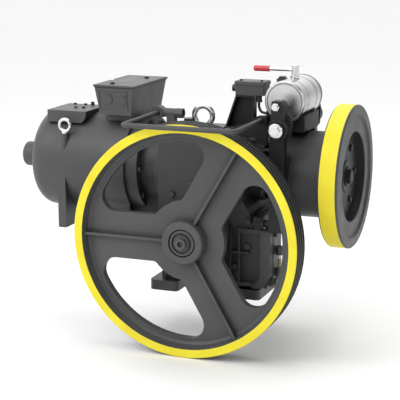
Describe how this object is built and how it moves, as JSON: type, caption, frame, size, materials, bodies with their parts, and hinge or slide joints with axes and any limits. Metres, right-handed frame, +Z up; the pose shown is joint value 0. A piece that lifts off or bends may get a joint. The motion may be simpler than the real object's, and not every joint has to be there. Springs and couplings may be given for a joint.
{
  "type": "geared lift traction machine",
  "caption": "Worm-geared lift machine: an overhung spoked rope sheave on a worm gearbox, a flanged motor, a drum brake with a hand release, and a flywheel.",
  "frame": {"origin": "centre of the four foot bolt holes, on the underside of the gearbox feet", "axes": "+X along the worm shaft from the motor to the flywheel, -Y towards the overhung rope sheave, +Z up"},
  "size_m": [0.95, 0.4815, 0.727],
  "materials": {
    "dark_paint": "semi-gloss dark grey paint on cast iron and steel",
    "sheave_paint": "dark grey paint, with the front face of the rim in yellow safety paint",
    "flywheel_paint": "yellow safety paint round the rim, dark grey paint on the faces",
    "steel": "ground or turned steel",
    "zinc": "bright zinc plated",
    "magnet_silver": "turned bright metal",
    "bronze": "machined bronze",
    "iron": "bare cast iron",
    "copper": "varnished copper windings",
    "lining": "moulded friction lining",
    "black_plastic": "black moulded plastic",
    "red_grip": "red dipped plastic grip",
    "seal_rubber": "black nitrile rubber",
    "sight_glass": "clear tube filled with oil",
    "black_steel": "blackened steel",
    "black_paint": "satin black paint",
    "laminations": "stacked electrical steel"
  },
  "bodies": {
    "frame": {"bearing_outer_rings": "steel", "brake_lead": "seal_rubber", "brake_springs": "steel", "brake_support": "black_paint", "cable_glands": "black_plastic", "cover_screws": "black_steel", "encoder_cover": "dark_paint", "gearbox_eyebolt": "zinc", "gearbox_front_cover": "dark_paint", "gearbox_housing": "dark_paint", "gearbox_rear_cover": "dark_paint", "guard_clamp": "dark_paint", "housing_bolts": "dark_paint", "inspection_cover": "dark_paint", "junction_box": "dark_paint", "junction_post": "black_paint", "magnet_body": "magnet_silver", "magnet_coil": "copper", "magnet_end_plates": "magnet_silver", "motor_adapter": "dark_paint", "motor_end_shield": "dark_paint", "motor_eyebolt": "zinc", "motor_frame": "dark_paint", "motor_top_cover": "dark_paint", "oil_fittings": "dark_paint", "oil_gauge_tube": "sight_glass", "pivot_beam": "black_paint", "pivot_pins": "black_steel", "rope_guard": "dark_paint", "shaft_seals": "seal_rubber", "spring_rod": "zinc", "stator_core": "laminations", "stator_windings": "copper", "terminal_box": "dark_paint", "terminal_box_lid": "dark_paint", "worm_end_cover": "dark_paint"},
    "worm": {"worm_shaft": "steel", "rotor_core": "laminations", "worm_bearing_inners": "steel", "brake_drum": "dark_paint", "flywheel": "flywheel_paint", "flywheel_fixings": "black_steel"},
    "sheave": {"traction_sheave": "sheave_paint", "sheave_end_plate": "dark_paint", "sheave_end_bolt": "dark_paint", "sheave_key": "steel", "output_shaft": "steel", "worm_wheel_rim": "bronze", "worm_wheel_hub": "iron", "output_bearing_inners": "steel"},
    "front_arm": {"front_brake_arm": "black_paint", "front_brake_lining": "lining", "front_adjusting_screw": "zinc"},
    "rear_arm": {"rear_brake_arm": "black_paint", "rear_brake_lining": "lining", "rear_adjusting_screw": "zinc"},
    "front_plunger": {"front_magnet_plunger": "steel"},
    "rear_plunger": {"rear_magnet_plunger": "steel"},
    "lever": {"release_lever": "zinc", "lever_grip": "red_grip"}
  },
  "joints": [
    {"name": "sheave_spin", "type": "hinge", "parent": "frame", "child": "sheave", "pos_m": [0, -0.2, 0.175], "axis": [0, 1, 0], "continuous": true},
    {"name": "worm_spin", "type": "hinge", "parent": "frame", "child": "worm", "pos_m": [0, 0, 0.321], "axis": [1, 0, 0], "continuous": true},
    {"name": "lever_turn", "type": "hinge", "parent": "frame", "child": "lever", "pos_m": [0.206, 0, 0.58], "axis": [0, 0, -1], "range_deg": [0, 35]},
    {"name": "front_arm_open", "type": "hinge", "parent": "frame", "child": "front_arm", "pos_m": [0.206, -0.137, 0.212], "axis": [1, 0, 0], "range_deg": [0, 0.5], "deforming": ["brake_springs"]},
    {"name": "rear_arm_open", "type": "hinge", "parent": "frame", "child": "rear_arm", "pos_m": [0.206, 0.137, 0.212], "axis": [-1, 0, 0], "range_deg": [0, 0.5]},
    {"name": "front_plunger_out", "type": "slide", "parent": "frame", "child": "front_plunger", "axis": [0, -1, 0], "range_m": [0, 0.00268]},
    {"name": "rear_plunger_out", "type": "slide", "parent": "frame", "child": "rear_plunger", "axis": [0, 1, 0], "range_m": [0, 0.00268]}
  ],
  "couplings": [
    {"joint": "worm_spin", "follows": "sheave_spin", "ratio": -45},
    {"joint": "front_arm_open", "follows": "lever_turn", "ratio": 0.014285},
    {"joint": "rear_arm_open", "follows": "lever_turn", "ratio": 0.014285},
    {"joint": "front_plunger_out", "follows": "lever_turn", "m_per_rad": 0.0043},
    {"joint": "rear_plunger_out", "follows": "lever_turn", "m_per_rad": 0.0043}
  ]
}
